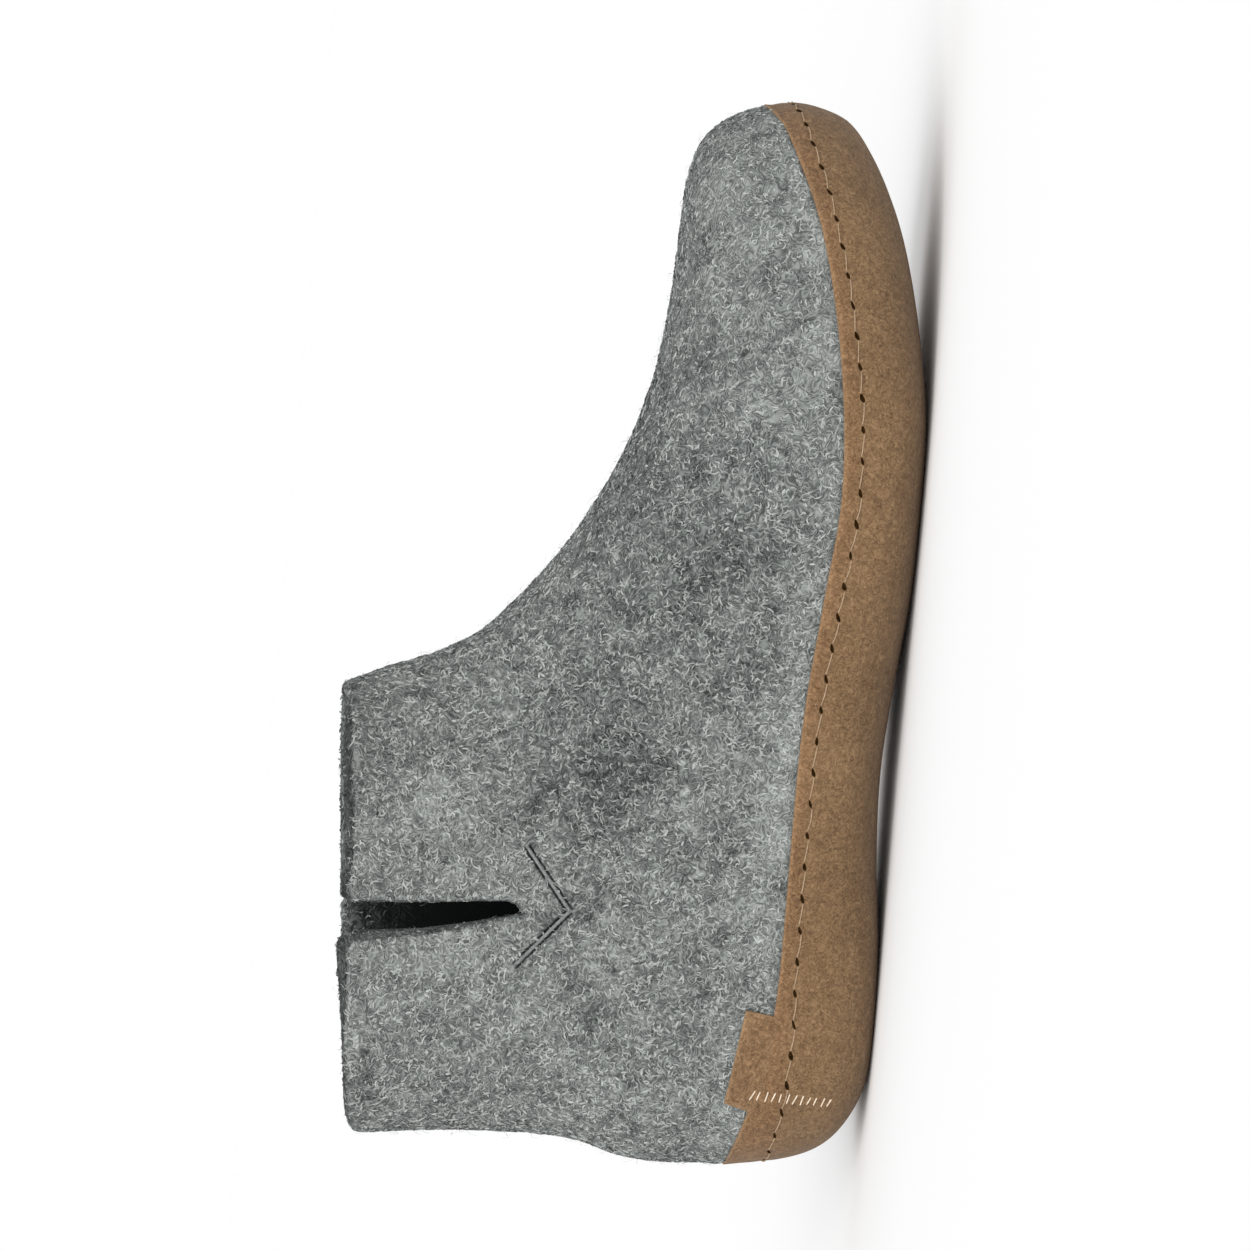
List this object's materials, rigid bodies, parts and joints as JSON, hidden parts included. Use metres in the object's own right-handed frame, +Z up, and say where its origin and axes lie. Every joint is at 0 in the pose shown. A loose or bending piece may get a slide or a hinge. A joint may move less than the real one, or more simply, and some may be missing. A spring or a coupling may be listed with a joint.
{
  "type": "felt slipper boot",
  "caption": "Ankle-high slipper boot of thick felt with side slits at the collar, sewn into a moulded leather cup sole, for indoor wear on the right foot.",
  "frame": {"origin": "on the floor under the middle of the boot's bounding box", "axes": "+X towards the toe, +Y towards the inner side of the foot, +Z up"},
  "size_m": [0.2828, 0.1014, 0.1476],
  "materials": {
    "upper": "matt heathered wool felt",
    "sole": "matt napped leather",
    "insole": "matt wool felt",
    "side_tab": "matt leather with a raw cut edge"
  },
  "bodies": {
    "root": {"upper": "upper", "sole": "sole", "insole": "insole", "side_tab": "side_tab"}
  },
  "joints": []
}
